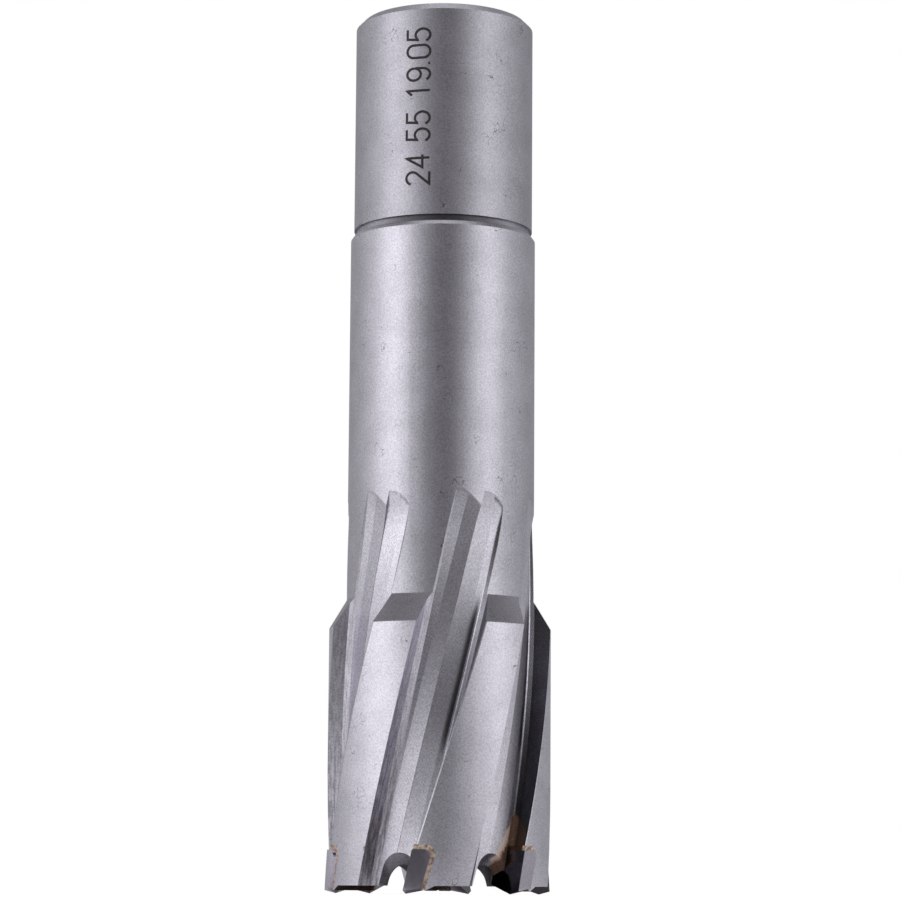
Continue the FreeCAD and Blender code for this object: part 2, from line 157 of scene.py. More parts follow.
def ring_faces(rings, sides):
    """Faces between the closed rings of a grid: a point, its neighbour in the ring, and the
    same two in the next ring."""
    here = np.arange(rings * sides).reshape(rings, sides)
    beside = np.roll(here, -1, axis=1)
    return np.stack((here[:-1], beside[:-1], beside[1:], here[1:]), axis=2).reshape(-1, 4)


# Matt paint: an even pale grey that keeps the tool's shadow and is lifted towards white
floor_paint, tree = new_material("matt_floor_paint")
paint = add_node(tree, "BsdfPrincipled", Base_Color=linear("#F2F1F2"), Roughness=0.9)
path = add_node(tree, "LightPath")
lift = add_node(tree, "Math", path.outputs["Is Camera Ray"], FLOOR_LIFT, operation="MULTIPLY")
glow = add_node(tree, "Emission", Color=WHITE, Strength=lift)
add_node(tree, "OutputMaterial", Surface=add_node(tree, "AddShader", paint, glow))
corners = [(x * FLOOR_HALF, y * FLOOR_HALF, 0) for x, y in ((-1, -1), (1, -1), (1, 1), (-1, 1))]
new_piece("floor", corners, [(0, 1, 2, 3)], floor_paint)

world = bpy.data.worlds.new("studio")
scene.world = world
world.use_nodes = True
tree = world.node_tree
tree.nodes.clear()
path = add_node(tree, "LightPath").outputs
seen = add_node(tree, "Math", path["Is Camera Ray"], path["Is Glossy Ray"], operation="MAXIMUM")
seen = add_node(tree, "Math", seen, path["Is Transmission Ray"], operation="MAXIMUM")
strength = add_node(tree, "MapRange", seen, 0, 1, WORLD_STRENGTH, 1.0)
surround = add_node(tree, "Background", Color=WHITE, Strength=strength)
add_node(tree, "OutputWorld", Surface=surround)

# Black gauze: see-through, and darker where it lies denser
gauze, tree = new_material("graded_black_gauze")
x, y, height = add_node(tree, "SeparateXYZ", add_node(tree, "TexCoord").outputs["Object"]).outputs
ahead = add_node(tree, "Math", y, -1.0, operation="MULTIPLY")
azimuth = add_node(tree, "Math", x, ahead, operation="ARCTAN2")
turn = add_node(tree, "MapRange", azimuth, -math.pi, math.pi)
ramp = add_node(tree, "ValToRGB", turn)
stops = ramp.color_ramp
stops.interpolation = "B_SPLINE"
while len(stops.elements) < len(SCREEN_LIGHT):
    stops.elements.new(0.5)
for stop, (degrees, light) in zip(stops.elements, SCREEN_LIGHT):
    stop.position = degrees / 360 + 0.5
    stop.color = (light, light, light, 1)
lid = add_node(tree, "MapRange", height, *LID_HEIGHTS, 1.0, LID_LIGHT, **SOFT)
lid = add_node(tree, "Math", lid, add_node(tree, "MapRange", y, *LID_BEHIND, **SOFT),
               operation="MAXIMUM")
apron = add_node(tree, "MapRange", height, 0.0, APRON_LIGHT_TOP, APRON_LIGHT, 1.0, **SOFT)
lifted = add_node(tree, "MapRange", height, *APRON_LIFT_HEIGHTS, APRON_LIFT, 0.0, **SOFT)
held_back = add_node(tree, "Math", 1.0, ramp, operation="SUBTRACT")
drum = add_node(tree, "Math", lifted, held_back, ramp, operation="MULTIPLY_ADD")
off_axis = add_node(tree, "VectorMath", add_node(tree, "CombineXYZ", x, y), operation="LENGTH")
opening = overlap(tree,
                  add_node(tree, "MapRange", off_axis, *OPENING_RADII, OPENING_LIGHT, 0.0, **SOFT),
                  add_node(tree, "MapRange", height, *OPENING_HEIGHTS, **SOFT))
light = add_node(tree, "Math", overlap(tree, lid, apron, drum), opening, operation="ADD")
add_node(tree, "OutputMaterial", Surface=add_node(tree, "BsdfTransparent", Color=light))

# The drum is four rings joined: the apron's edge, the foot, the rim and the lid's centre. A
# point stands at (radius sin angle, -radius cos angle, height of its ring).
angles = np.radians(np.arange(SCREEN_SIDES) * 360 / SCREEN_SIDES)
ring_radii = np.array((APRON_RADIUS, SCREEN_RADIUS, SCREEN_RADIUS, 0.0))[:, None]
ring_heights = np.array((APRON_HEIGHT, APRON_HEIGHT, SCREEN_HEIGHT, SCREEN_HEIGHT))[:, None]
points = np.stack((ring_radii * np.sin(angles), -ring_radii * np.cos(angles),
                   ring_heights + 0 * angles), axis=2).reshape(-1, 3)
screen = new_piece("graded_screen", points.tolist(),
                   ring_faces(len(ring_radii), SCREEN_SIDES).tolist(), gauze)
screen.visible_camera = False
screen.visible_shadow = False
screen.visible_diffuse = False

for name, lamp_azimuth, watts in LAMPS:
    lamp_data = bpy.data.lights.new(name, "AREA")
    lamp_data.shape = "RECTANGLE"
    lamp_data.size, lamp_data.size_y = LAMP_WIDTH, LAMP_TALL
    lamp_data.energy = watts
    lamp = bpy.data.objects.new(name, lamp_data)
    scene.collection.objects.link(lamp)
    angle = math.radians(lamp_azimuth)
    lamp.location = (math.sin(angle) * LAMP_DISTANCE, -math.cos(angle) * LAMP_DISTANCE, LAMP_HEIGHT)
    lamp.rotation_mode = "QUATERNION"
    towards = Vector((0, 0, LAMP_AIM)) - lamp.location
    lamp.rotation_quaternion = towards.to_track_quat("-Z", "Y")


# Cutter body: one bar of alloy tool steel, turned, milled and hardened, then ground on the
# shank, body and lands. The milled flutes keep the fine lines of the milling cutter, and
# braze has run into the corner above each tip.

# Sizes in millimetres, measured on the solid where it shows them
CONE_HEIGHT, CHAMFER_HEIGHT, GROOVE_WIDTH = 3.0, 0.45, 0.67
FLOOR_RADIUS, FLUTE_TOP = 9.5, 43.2

body_mesh = nodes["cutter_body"].data
places = np.empty(3 * len(body_mesh.vertices))
body_mesh.vertices.foreach_get("co", places)
places = places.reshape(-1, 3) / MM
radii, heights = np.hypot(places[:, 0], places[:, 1]), places[:, 2]
LAND_RADIUS = radii.max()
HEAD_TOP = heights[radii > LAND_RADIUS - 0.001].max()
BODY_RADIUS = radii[heights > heights.max() / 2].max()
BODY_TOP = heights[radii > BODY_RADIUS - 0.001].max()
SHANK_RADIUS = radii[heights > heights.max() * 0.8].max()
CUP_RADIUS = radii[heights < HEAD_TOP].min()
CUP_TOP = heights[np.abs(radii - CUP_RADIUS) < 0.001].max()
NECK_TOP = HEAD_TOP + CONE_HEIGHT
SHANK_FOOT = BODY_TOP + CHAMFER_HEIGHT
GROOVE_TOP = SHANK_FOOT + GROOVE_WIDTH

# Helical lines of the flutes: azimuth at the foot and turn per millimetre, in degrees. A
# tip's face doesn't turn but leans back, by TIP_SLOPE times its height.
TEETH = 6
RAKE_EDGE, RAKE_FOOT = (-18.4, 1.53), (-17.13, 1.458)
RIDGE, BACK_FOOT = (-32.5, 1.45), (-40.39, 1.209)
TIP_EDGE, TIP_SLOPE = (-17.6, 0.0), 0.2254


def tool_coordinates(tree):
    """A place on the tool in millimetres and degrees: its vector, radius, height and azimuth.
    The radius is the length of (x, y), and the azimuth turns from the front to the right."""
    place = add_node(tree, "TexCoord").outputs["Object"]
    vector = add_node(tree, "VectorMath", place, operation="SCALE", Scale=1 / MM)
    x, y, height = add_node(tree, "SeparateXYZ", vector).outputs
    level = add_node(tree, "CombineXYZ", x, y)
    radius = add_node(tree, "VectorMath", level, operation="LENGTH")
    ahead = add_node(tree, "Math", y, -1.0, operation="MULTIPLY")
    turn = add_node(tree, "Math", x, ahead, operation="ARCTAN2")
    return vector, radius, height, add_node(tree, "Math", turn, operation="DEGREES")


def beyond_helix(tree, azimuth, height, line):
    """Degrees past the nearest of the helical lines, one for each tooth: the azimuth less
    the line's turn at that height, wrapped to half a tooth on either side."""
    foot, twist = line
    turned = add_node(tree, "Math", height, -twist, azimuth, operation="MULTIPLY_ADD")
    past = add_node(tree, "Math", turned, foot, operation="SUBTRACT")
    return add_node(tree, "Math", past, 180 / TEETH, -180 / TEETH, operation="WRAP")


def behind_tip(tree, radius, height, azimuth):
    """Millimetres round the tool behind the cutting face of the nearest tip, which leans back
    as it rises."""
    turned = add_node(tree, "Math", beyond_helix(tree, azimuth, height, TIP_EDGE),
                      operation="RADIANS")
    along = add_node(tree, "Math", turned, radius, operation="MULTIPLY")
    return add_node(tree, "Math", height, -TIP_SLOPE, along, operation="MULTIPLY_ADD")


def within(tree, value, low, high, soft):
    """1 where the value lies between low and high, falling softly to 0 over soft outside."""
    return overlap(tree, add_node(tree, "MapRange", value, low - soft, low, **SOFT),
                   add_node(tree, "MapRange", value, high, high + soft, 1.0, 0.0, **SOFT))


def toned(tree, shade, mask, tone):
    """The shade times the tone where the mask is 1, and unchanged where it is 0."""
    change = add_node(tree, "Mix", Factor_Float=mask, A_Float=1.0, B_Float=tone)
    return add_node(tree, "Math", shade, change, operation="MULTIPLY")


def flute_wall(tree, past_foot, radius, beyond, near, rise):
    """1 on one wall of the flutes: well beyond its foot line, or near that line and above
    the radius at which the floor ends."""
    foot = overlap(tree, within(tree, past_foot, *near, 1.0),
                   add_node(tree, "MapRange", radius, rise, rise + 0.15, **SOFT))
    return add_node(tree, "Math", within(tree, past_foot, *beyond, 0.4), foot, operation="MAXIMUM")


def wave(tree, distance, pitch):
    """Lines across a distance in millimetres: the sine of 2 pi distance / pitch."""
    turns = add_node(tree, "Math", distance, 2 * math.pi / pitch, operation="MULTIPLY")
    return add_node(tree, "Math", turns, operation="SINE")


def leaned_normal(tree, vector, lean):
    """The surface's normal leaned round the tool by a slope, to the right where the slope is
    positive: normal + slope times the unit vector round the axis, made a unit again."""
    around = add_node(tree, "VectorMath", (0, 0, 1), vector, operation="CROSS_PRODUCT")
    around = add_node(tree, "VectorMath", around, operation="NORMALIZE")
    aside = add_node(tree, "VectorMath", around, operation="SCALE", Scale=lean)
    straight = add_node(tree, "NewGeometry").outputs["Normal"]
    leaned = add_node(tree, "VectorMath", straight, aside, operation="ADD")
    return add_node(tree, "VectorMath", leaned, operation="NORMALIZE")


def dress(first_word, material):
    """Gives a material to the solids whose names start with this word."""
    for name, solid in nodes.items():
        if name.startswith(first_word):
            solid.data.materials.clear()
            solid.data.materials.append(material)


# Ground tool steel: a satin lilac grey, smoother on the body than on the shank, with a fine
# grain. The grinding marks are far finer in life and drawn 0.15 mm wide so that they show.
WIDE, MIDDLE, NARROW = (0.25, 0.75), (0.3, 0.7), (0.35, 0.65)  # spreads of a noise's values
STEEL_COLOUR = linear("#F6F3FF")
GROUND_ROUGH, MILLED_ROUGH, SHANK_ROUGH = 0.4, 0.38, 0.46
GRAIN_SIZE, GRAIN_TONES = 0.15, (0.58, 0.86)
CLOUD_SIZE, CLOUD_TONES = 3.5, (0.93, 1.06)
MILLED_DEPTH = (0.02, 0.06)
SHANK_TONE, HEAD_PAINTED_LIGHT, CONE_TONE, CUP_TONE = 0.86, 1.2, 0.8, 0.7
GROOVE_SIDE_SHADE, GROOVE_FRONT_SHADE, GROOVE_FRONT = 0.88, 0.26, (0.62, 0.9)

steel, tree = new_material("ground_tool_steel")
vector, radius, height, azimuth = tool_coordinates(tree)
radians = add_node(tree, "Math", azimuth, operation="RADIANS")
to_front = add_node(tree, "Math", radians, operation="COSINE")
to_right = add_node(tree, "Math", radians, operation="SINE")
grain = add_node(tree, "TexNoise", Vector=vector, Scale=1 / GRAIN_SIZE, Detail=3.0)
clouds = add_node(tree, "TexNoise", Vector=vector, Scale=1 / CLOUD_SIZE, Detail=3.0)

# Depth below the turned surface tells the milled flutes from the ground lands
blank = add_node(tree, "MapRange", height, HEAD_TOP, NECK_TOP, LAND_RADIUS, BODY_RADIUS)
depth = add_node(tree, "Math", blank, radius, operation="SUBTRACT")
milled = overlap(tree, add_node(tree, "MapRange", depth, *MILLED_DEPTH, **SOFT),
                 add_node(tree, "MapRange", height, FLUTE_TOP, FLUTE_TOP + 0.5, 1.0, 0.0, **SOFT))
ground = add_node(tree, "Math", 1.0, milled, operation="SUBTRACT")
shank = add_node(tree, "MapRange", height, SHANK_FOOT - 0.1, SHANK_FOOT, **SOFT)
head = add_node(tree, "MapRange", height, HEAD_TOP, HEAD_TOP + 0.1, 1.0, 0.0, **SOFT)
cone = overlap(tree, within(tree, height, HEAD_TOP, NECK_TOP, 0.05), ground)
cup = overlap(tree,
              add_node(tree, "MapRange", radius, CUP_RADIUS + 0.15, CUP_RADIUS + 0.05, **SOFT),
              add_node(tree, "MapRange", height, CUP_TOP + 1.0, CUP_TOP + 0.5, **SOFT))
groove = overlap(tree, within(tree, height, SHANK_FOOT, GROOVE_TOP, 0.05),
                 add_node(tree, "MapRange", radius, SHANK_RADIUS, SHANK_RADIUS - 0.1, **SOFT))

grain_tone = add_node(tree, "MapRange", grain, *WIDE, *GRAIN_TONES, **SOFT)
cloud_tone = add_node(tree, "MapRange", clouds, *WIDE, *CLOUD_TONES, **SOFT)
shade = add_node(tree, "Math", grain_tone, cloud_tone, operation="MULTIPLY")
shade = toned(tree, shade, shank, SHANK_TONE)
# The head and the milled flutes are painted brighter, as painted light
painted_brighter = add_node(tree, "Math", head, milled, operation="MAXIMUM")
shade = toned(tree, shade, painted_brighter, HEAD_PAINTED_LIGHT)
shade = toned(tree, shade, cone, CONE_TONE)
shade = toned(tree, shade, cup, CUP_TONE)
# The groove is painted darker, and darkest in front, as painted shade
groove_shade = add_node(tree, "MapRange", to_front, *GROOVE_FRONT, GROOVE_SIDE_SHADE,
                       GROOVE_FRONT_SHADE, **SOFT)
shade = toned(tree, shade, groove, groove_shade)

# Marks of the milling cutter: diagonal lines on the floors and long streaks on the back walls;
# the streaks are darker low down. The rake walls carry painted shade, with a painted shadow on
# the floor at their foot; rake walls that face right get more painted shade, with steep hatching.
# A wall is all that lies in the first span of degrees past its foot line, and what lies in the
# second span beyond the radius.
RAKE_WALL, BACK_WALL = ((0.6, 14), (-7, 14), 9.7), ((-14, -0.6), (-14, 7), 9.9)
FLOOR_LINE_SLOPE, FLOOR_LINE_PITCH, FLOOR_LINE_WANDER = 0.8, 0.3, 0.5
FLOOR_LINE_TONES, FLOOR_LINES_ON_WALL = (0.93, 1.04), 0.2
ROUGH_SIZE, ROUGH_TONES = 0.25, (0.89, 1.05)
STREAK_SIZE, STREAK_STRETCH, STREAK_LIGHT = 0.5, (0.6, 2.0, 0.3), 1.12
STREAK_HEIGHTS, STREAK_DARKS = (7.0, 18.0), (0.55, 0.82)
HATCH_SLOPE, HATCH_PITCH, HATCH_TONE, PATCH_SIZE = -0.29, 0.17, 0.35, 1.2
RAKE_WALL_SHADE, RIGHT_RAKE_SHADE, RIGHT_RAKE_SHADE_HEIGHTS, RIGHT_RAKE_SHADE_FADE = 0.42, 0.2, (4.0, 24.0), (0.7, 1.6)
RIGHT_RAKE_SIDE = (0.42, 0.62)
CORNER_SHADE, CORNER_SPAN, CORNER_END, CORNER_HEIGHTS = 0.17, (-6.5, -1.8), (-1.3, -0.7), (17.0, 27.0)

past_rake = beyond_helix(tree, azimuth, height, RAKE_FOOT)
past_back = beyond_helix(tree, azimuth, height, BACK_FOOT)
rake_wall = overlap(tree, flute_wall(tree, past_rake, radius, *RAKE_WALL), milled)
back_wall = overlap(tree, flute_wall(tree, past_back, radius, *BACK_WALL), milled)
patches = add_node(tree, "TexNoise", Vector=vector, Scale=1 / PATCH_SIZE, Detail=2.0)

along = add_node(tree, "Math", azimuth, math.radians(FLOOR_RADIUS), operation="MULTIPLY")
along = add_node(tree, "Math", height, FLOOR_LINE_SLOPE, along, operation="MULTIPLY_ADD")
along = add_node(tree, "Math", patches, FLOOR_LINE_WANDER, along, operation="MULTIPLY_ADD")
line_tone = add_node(tree, "MapRange", wave(tree, along, FLOOR_LINE_PITCH), -1.0, 1.0,
                     *FLOOR_LINE_TONES, **SOFT)
shade = toned(tree, shade, toned(tree, milled, back_wall, FLOOR_LINES_ON_WALL), line_tone)

roughness = add_node(tree, "TexNoise", Vector=vector, Scale=1 / ROUGH_SIZE, Detail=5.0)
rough_tone = add_node(tree, "MapRange", roughness, *MIDDLE, *ROUGH_TONES, **SOFT)
shade = toned(tree, shade, milled, rough_tone)

drawn_out = add_node(tree, "CombineXYZ", past_back, radius, height)
drawn_out = add_node(tree, "VectorMath", drawn_out, STREAK_STRETCH, operation="MULTIPLY")
streaks = add_node(tree, "TexNoise", Vector=drawn_out, Scale=1 / STREAK_SIZE, Detail=3.0)
darkest = add_node(tree, "MapRange", height, *STREAK_HEIGHTS, *STREAK_DARKS, **SOFT)
streak_tone = add_node(tree, "MapRange", streaks, *NARROW, darkest, STREAK_LIGHT, **SOFT)
shade = toned(tree, shade, back_wall, streak_tone)

# Rake walls: painted shade all over, and more painted shade with steep hatching on the walls that
# face right
steep = add_node(tree, "Math", height, HATCH_SLOPE, radius, operation="MULTIPLY_ADD")
hatch = add_node(tree, "MapRange", wave(tree, steep, HATCH_PITCH), 0.2, 1.0, **SOFT)
rake_shade_and_burn_grain = add_node(tree, "Math", overlap(tree, hatch, patches), HATCH_TONE, RIGHT_RAKE_SHADE,
                operation="MULTIPLY_ADD")
fade = add_node(tree, "MapRange", height, *RIGHT_RAKE_SHADE_HEIGHTS, *RIGHT_RAKE_SHADE_FADE, **SOFT)
rake_shade_and_burn_grain = add_node(tree, "Math", rake_shade_and_burn_grain, fade, operation="MULTIPLY")
right_rake_shaded = overlap(tree, rake_wall, add_node(tree, "MapRange", to_right, *RIGHT_RAKE_SIDE, **SOFT))
shade = toned(tree, shade, rake_wall, RAKE_WALL_SHADE)
shade = toned(tree, shade, right_rake_shaded, rake_shade_and_burn_grain)

# Painted shadow on the floor next to the foot of each rake wall
foot_corner_shadow = overlap(tree, milled, add_node(tree, "MapRange", past_rake, *CORNER_SPAN, **SOFT),
                 add_node(tree, "MapRange", past_rake, *CORNER_END, 1.0, 0.0, **SOFT),
                 within(tree, height, *CORNER_HEIGHTS, 5.0))
shade = toned(tree, shade, add_node(tree, "MapRange", foot_corner_shadow, **SOFT), CORNER_SHADE)

# Braze that ran into the corner above each tip, higher on the teeth at the right: cream at
# its rim, brown inside, dark on the wall
SMEAR_HEIGHT, SMEAR_FALL, SMEAR_EDGE_SIZE, SMEAR_EDGE = 8.4, 0.44, 0.9, 2.0
SMEAR_AZIMUTH, SMEAR_TURN, SMEAR_LOWER = 50.0, (0.3, 0.95), -2.2
SMEAR_BACK, SMEAR_BACK_HEIGHTS = (-0.9, -4.0), (3.2, 4.2)
SMEAR_RIM, SMEAR_INSIDE = linear("#FBE6DA"), linear("#D2AE96")
SMEAR_DARK, SMEAR_ON_WALL = linear("#74584A"), linear("#4A382C")
SMEAR_METALLIC, SMEAR_SOFT, SMEAR_SPECKLE = 0.5, 0.3, 1.2
INSIDE_RUN, INSIDE_UP_WALL, INSIDE_CORNER = (1.1, 3.2), (0.3, 0.8), (-2.6, -0.6)

up_wall = add_node(tree, "Math", radius, FLOOR_RADIUS, operation="SUBTRACT")
up_wall = add_node(tree, "Math", up_wall, 0.0, operation="MAXIMUM")
reach = add_node(tree, "Math", SMEAR_HEIGHT, up_wall, operation="SUBTRACT")
in_front = add_node(tree, "Math", past_rake, 0.0, operation="MINIMUM")
reach = add_node(tree, "Math", in_front, SMEAR_FALL, reach, operation="MULTIPLY_ADD")
aside = add_node(tree, "Math", azimuth, SMEAR_AZIMUTH, operation="SUBTRACT")
aside = add_node(tree, "Math", add_node(tree, "Math", aside, operation="RADIANS"),
                 operation="COSINE")
lower = add_node(tree, "MapRange", aside, *SMEAR_TURN, SMEAR_LOWER, 0.0, **SOFT)
reach = add_node(tree, "Math", reach, lower, operation="ADD")
ragged = add_node(tree, "TexNoise", Vector=vector, Scale=1 / SMEAR_EDGE_SIZE, Detail=4.0)
ragged = add_node(tree, "Math", ragged, 0.5, operation="SUBTRACT")
reach = add_node(tree, "Math", ragged, SMEAR_EDGE, reach, operation="MULTIPLY_ADD")
run = add_node(tree, "Math", reach, height, operation="SUBTRACT")
limit = add_node(tree, "MapRange", height, *SMEAR_BACK_HEIGHTS, *SMEAR_BACK, **SOFT)
from_limit = add_node(tree, "Math", behind_tip(tree, radius, height, azimuth), limit,
                      operation="SUBTRACT")
smear = overlap(tree, milled, add_node(tree, "MapRange", run, 0.0, SMEAR_SOFT, **SOFT),
                add_node(tree, "MapRange", from_limit, -SMEAR_SOFT, 0.0, **SOFT))
inside = add_node(tree, "Math", add_node(tree, "MapRange", run, *INSIDE_RUN, **SOFT),
                  add_node(tree, "MapRange", up_wall, *INSIDE_UP_WALL, **SOFT), operation="MAXIMUM")
inside = add_node(tree, "Math", inside,
                  add_node(tree, "MapRange", past_rake, *INSIDE_CORNER, **SOFT), operation="MAXIMUM")
speckled = add_node(tree, "Math", grain, 0.5, operation="SUBTRACT")
inside = add_node(tree, "Math", speckled, SMEAR_SPECKLE, inside, operation="MULTIPLY_ADD")
smear_colour = SMEAR_RIM
for mask, start, end, colour in ((inside, 0.0, 0.5, SMEAR_INSIDE), (inside, 0.4, 1.0, SMEAR_DARK),
                                 (up_wall, 0.1, 0.7, SMEAR_ON_WALL)):
    amount = add_node(tree, "MapRange", mask, start, end, **SOFT)
    smear_colour = add_node(tree, "Mix", data_type="RGBA", Factor_Float=amount,
                            A_Color=smear_colour, B_Color=colour)

# Fibres and specks of dust that cling to the steel
THREAD_SIZE, THREAD_WIDTH = 1.1, (0.006, 0.012)
THREAD_PLACE_SIZE, THREAD_PLACES = 3.0, (0.64, 0.66)
SPECK_SIZE, SPECK_PLACES = 0.45, (0.8, 0.83)
DUST_TONE, DUST_ON_LANDS = 0.2, 0.6

thread, thread_place, speck = (
    add_node(tree, "TexNoise", Vector=vector, Scale=1 / size, Detail=1.0)
    for size in (THREAD_SIZE, THREAD_PLACE_SIZE, SPECK_SIZE))
thread = add_node(tree, "Math", thread, 0.5, operation="SUBTRACT")
thread = add_node(tree, "Math", thread, operation="ABSOLUTE")
thread = overlap(tree, add_node(tree, "MapRange", thread, *THREAD_WIDTH, 1.0, 0.0, **SOFT),
                 add_node(tree, "MapRange", thread_place, *THREAD_PLACES, **SOFT))
speck = add_node(tree, "MapRange", speck, *SPECK_PLACES, **SOFT)
dust = add_node(tree, "Math", thread, speck, operation="MAXIMUM")
dust = add_node(tree, "MapRange", overlap(tree, dust, ground, DUST_ON_LANDS), **SOFT)
shade = toned(tree, shade, dust, DUST_TONE)

# The shading normal leans on the two floors, which meet at an angle along the ridge, and on
# the narrow bright edge that the grinding leaves along each land
FLOOR_LEAN, FAR_FLOOR_SHARE, EDGE_LEAN, EDGE_SPAN = -0.17, 0.4, -0.35, (0.0, 0.6)
NEAR_FLOOR, FAR_FLOOR = (-9.5, -0.3), (0.3, 11.0)

past_ridge = beyond_helix(tree, azimuth, height, RIDGE)
past_edge = beyond_helix(tree, azimuth, height, RAKE_EDGE)
near_floor = within(tree, past_ridge, *NEAR_FLOOR, 0.3)
far_floor = overlap(tree, within(tree, past_ridge, *FAR_FLOOR, 0.3), FAR_FLOOR_SHARE)
floors = add_node(tree, "Math", near_floor, far_floor, operation="MAXIMUM")
edge = overlap(tree, within(tree, past_edge, *EDGE_SPAN, 0.15), head, ground)
lean = add_node(tree, "Math", edge, EDGE_LEAN, overlap(tree, floors, milled, FLOOR_LEAN),
                operation="MULTIPLY_ADD")
bumps = add_node(tree, "Bump", Strength=0.2, Distance=0.02 * MM, Height=grain,
                 Normal=leaned_normal(tree, vector, lean))

shade = add_node(tree, "Math", shade, 1.0, operation="MINIMUM")
base = add_node(tree, "Mix", data_type="RGBA", blend_type="MULTIPLY", Factor_Float=1.0,
                A_Color=STEEL_COLOUR, B_Color=shade)
base = add_node(tree, "Mix", data_type="RGBA", Factor_Float=smear, A_Color=base,
                B_Color=smear_colour)
rough = add_node(tree, "Mix", Factor_Float=milled, A_Float=GROUND_ROUGH, B_Float=MILLED_ROUGH)
rough = add_node(tree, "Mix", Factor_Float=shank, A_Float=rough, B_Float=SHANK_ROUGH)
metallic = add_node(tree, "MapRange", smear, 0.0, 1.0, 1.0, SMEAR_METALLIC, **SOFT)
shine = add_node(tree, "BsdfPrincipled", Base_Color=base, Metallic=metallic, Roughness=rough,
                 Normal=bumps)
add_node(tree, "OutputMaterial", Surface=shine)
dress("cutter", steel)


# Tips: six blocks of sintered tungsten carbide, ground on their cutting faces and brazed into
# pockets in the head. Their outer faces are relieved behind the edge, which a leaned normal
# shows.

CUTTING_RADIUS, RELIEF_LEAN, FACE_DEPTH = 12.0, 0.2, (0.05, 0.1)
CARBIDE_SPECK_SIZE, CARBIDE_TONES, RAKE_FACE_SHADE = 0.2, (0.85, 1.05), 0.12

# Tungsten carbide: a violet grey metal, finer polished than the steel, with painted shade on its
# rake face
carbide, tree = new_material("tungsten_carbide")
vector, radius, height, azimuth = tool_coordinates(tree)
behind = behind_tip(tree, radius, height, azimuth)
specks = add_node(tree, "TexNoise", Vector=vector, Scale=1 / CARBIDE_SPECK_SIZE, Detail=3.0)
tone = add_node(tree, "MapRange", specks, *MIDDLE, *CARBIDE_TONES, **SOFT)
outside = add_node(tree, "MapRange", radius, CUTTING_RADIUS - 0.07, CUTTING_RADIUS - 0.02, **SOFT)
# Painted shade on the rake face
shaded_rake_face = overlap(tree, add_node(tree, "Math", 1.0, outside, operation="SUBTRACT"),
                    add_node(tree, "MapRange", behind, *FACE_DEPTH, 1.0, 0.0, **SOFT))
tone = toned(tree, tone, shaded_rake_face, RAKE_FACE_SHADE)
colour = add_node(tree, "Mix", data_type="RGBA", blend_type="MULTIPLY", Factor_Float=1.0,
                  A_Color=linear("#E6E0F0"), B_Color=tone)
shine = add_node(tree, "BsdfPrincipled", Base_Color=colour, Metallic=1.0, Roughness=0.1,
                 Normal=leaned_normal(tree, vector, overlap(tree, outside, RELIEF_LEAN)))
add_node(tree, "OutputMaterial", Surface=shine)
dress("carbide", carbide)


# Braze: a silver alloy melted in behind and above each tip, which holds it in its pocket.
# It was never polished and keeps the skin of the melt.

BRAZE_PATCH_SIZE, BRAZE_FACE_RADII = 0.3, (11.4, 11.6)

# Silver braze: a dull golden brown, lumpy, with painted shade where it faces the flute
braze, tree = new_material("silver_braze")
vector, radius, height, azimuth = tool_coordinates(tree)
behind = behind_tip(tree, radius, height, azimuth)
melt = add_node(tree, "TexNoise", Vector=vector, Scale=1 / BRAZE_PATCH_SIZE, Detail=3.0)
amount = add_node(tree, "MapRange", melt, *NARROW, **SOFT)
skin = add_node(tree, "Mix", data_type="RGBA", Factor_Float=amount, A_Color=linear("#FFEADB"),
                B_Color=linear("#B09A88"))
# Painted shade where the braze faces the flute
flute_side_shade = overlap(tree,
                     add_node(tree, "MapRange", radius, *BRAZE_FACE_RADII, 1.0, 0.0, **SOFT),
                     add_node(tree, "MapRange", behind, *FACE_DEPTH, 1.0, 0.0, **SOFT))
skin = add_node(tree, "Mix", data_type="RGBA", Factor_Float=flute_side_shade, A_Color=skin,
                B_Color=linear("#5A4636"))
lumps = add_node(tree, "Bump", Strength=0.6, Distance=0.1 * MM, Height=melt)
shine = add_node(tree, "BsdfPrincipled", Base_Color=skin, Metallic=1.0, Roughness=0.55,
                 Normal=lumps)
add_node(tree, "OutputMaterial", Surface=shine)
dress("braze", braze)


# Size figures: plain numbers burnt dark into the shank by a laser, the cutting diameter, depth
# and shank diameter of this tool. They are thin strips that follow the round shank and read
# from the groove towards the end.

FIGURES, FIGURES_START, FIGURES_BASE = "24 55 19.05", 73.3, -1.5
FIGURE_HEIGHT, FIGURE_WIDTH, FIGURE_PITCH, LINE_WIDTH = 2.5, 1.36, 1.83, 0.27
NARROW_PITCH = {" ": 0.55, ".": 0.35}
BURN_HEIGHT, BURN_DEPTH, BURN_GRAIN_SIZE = 0.006, 0.05, 0.15
ARC_STEP, LINE_STEP = 15, 0.2


def arc(centre, width, height, start, end):
    """Points on an ellipse arc of a figure: the centre + (width cos, height sin) of angles in
    degrees counted from the right."""
    turns = np.radians(np.linspace(start, end, 2 + int(abs(end - start) // ARC_STEP)))
    return np.column_stack((centre[0] + width * np.cos(turns), centre[1] + height * np.sin(turns)))


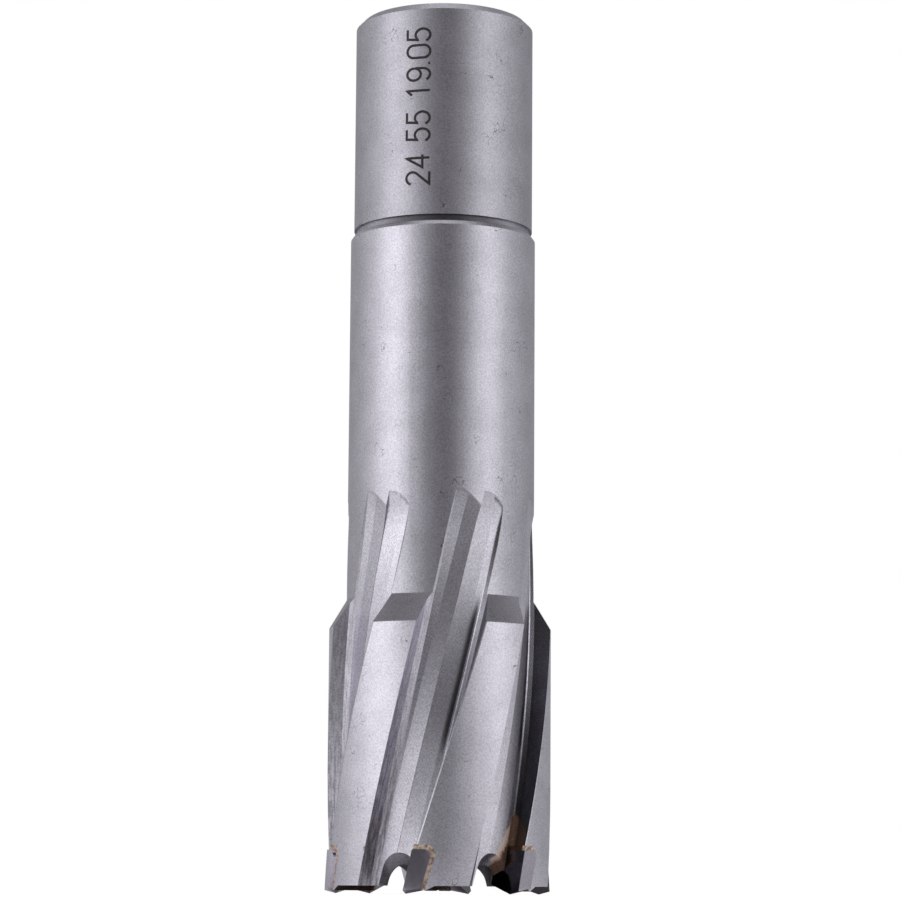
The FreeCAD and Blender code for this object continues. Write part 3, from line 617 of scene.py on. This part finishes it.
# Strokes of each figure in a box one wide and one high
STROKES = {
    "0": [np.vstack((arc((0.5, 0.72), 0.5, 0.28, 0, 180), arc((0.5, 0.28), 0.5, 0.28, 180, 361),
                     [(1.0, 0.72)]))],
    "1": [np.array(((0.2, 0.78), (0.55, 1.0), (0.55, 0.0)))],
    "2": [np.vstack((arc((0.5, 0.73), 0.48, 0.27, 165, -40), [(0.02, 0.0), (1.0, 0.0)]))],
    "4": [np.array(((0.74, 0.0), (0.74, 1.0), (0.0, 0.3), (1.0, 0.3)))],
    "5": [np.vstack(([(0.92, 1.0), (0.16, 1.0), (0.08, 0.55)],
                     arc((0.46, 0.32), 0.5, 0.32, 132, -155)))],
    "9": [np.vstack((arc((0.5, 0.7), 0.48, 0.3, 0, 360), arc((0.5, 0.32), 0.48, 0.32, 0, -150)))],
    ".": [np.array(((0.0, 0.0), (0.0, 0.09)))],
}


def fine(line):
    """The same line with points at most LINE_STEP apart, each stretch divided evenly, so that
    it follows the round shank."""
    steps = 1 + (np.linalg.norm(np.diff(line, axis=0), axis=1) / LINE_STEP).astype(int)
    places = np.concatenate([k + np.arange(n) / n for k, n in enumerate(steps)] + [[len(steps)]])
    return np.column_stack([np.interp(places, np.arange(len(line)), line[:, c]) for c in (0, 1)])


def ribbon(line, width):
    """Left and right side of a line: half the width square to it, and at a corner square to
    the mean direction and stretched to a mitre."""
    ahead = np.diff(line, axis=0)
    ahead /= np.linalg.norm(ahead, axis=1)[:, None]
    before = np.vstack((ahead[:1], ahead))
    after = np.vstack((ahead, ahead[-1:]))
    along = before + after
    along /= np.linalg.norm(along, axis=1)[:, None]
    across = np.column_stack((-along[:, 1], along[:, 0]))
    stretch = 1 / np.maximum(np.sum(along * after, axis=1), 0.5)
    across *= width / 2 * stretch[:, None]
    return line + across, line - across


def burnt_strip(line, start):
    """A closed strip round the shank: four corners at each point of the line, right and left
    above the surface, then left and right below it. A point (u, v) stands at the height
    start + u and the azimuth (FIGURES_BASE - v) / SHANK_RADIUS."""
    left, right = ribbon(line, LINE_WIDTH)
    u, v = np.stack((right, left, left, right), axis=1).transpose(2, 0, 1)
    radii = SHANK_RADIUS + np.array((BURN_HEIGHT, BURN_HEIGHT, -BURN_DEPTH, -BURN_DEPTH))
    angles = (FIGURES_BASE - v) / SHANK_RADIUS
    return np.stack((radii * np.sin(angles), -radii * np.cos(angles), start + u), axis=2) * MM


points, faces = [], []
reading = FIGURES_START
for figure in FIGURES:
    for stroke in STROKES.get(figure, []):
        strip = burnt_strip(fine(stroke * (FIGURE_WIDTH, FIGURE_HEIGHT)), reading)
        first, last = len(points), len(points) + 4 * (len(strip) - 1)
        faces += (first + ring_faces(len(strip), 4)).tolist()
        faces += [(first + 2, first + 1, first, first + 3), (last + 3, last, last + 1, last + 2)]
        points += strip.reshape(-1, 3).tolist()
    reading += FIGURE_PITCH * NARROW_PITCH.get(figure, 1.0)

# Laser-burnt steel: a dull brownish black
burn, tree = new_material("laser_burnt_steel")
vector = tool_coordinates(tree)[0]
rake_shade_and_burn_grain = add_node(tree, "TexNoise", Vector=vector, Scale=1 / BURN_GRAIN_SIZE, Detail=3.0)
amount = add_node(tree, "MapRange", rake_shade_and_burn_grain, *MIDDLE, **SOFT)
burnt = add_node(tree, "Mix", data_type="RGBA", Factor_Float=amount, A_Color=linear("#1E181C"),
                 B_Color=linear("#40363A"))
skin = add_node(tree, "BsdfPrincipled", Base_Color=burnt, Roughness=0.55)
add_node(tree, "OutputMaterial", Surface=skin)

figures = new_piece("size_figures", points, faces, burn)
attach(figures, "root")
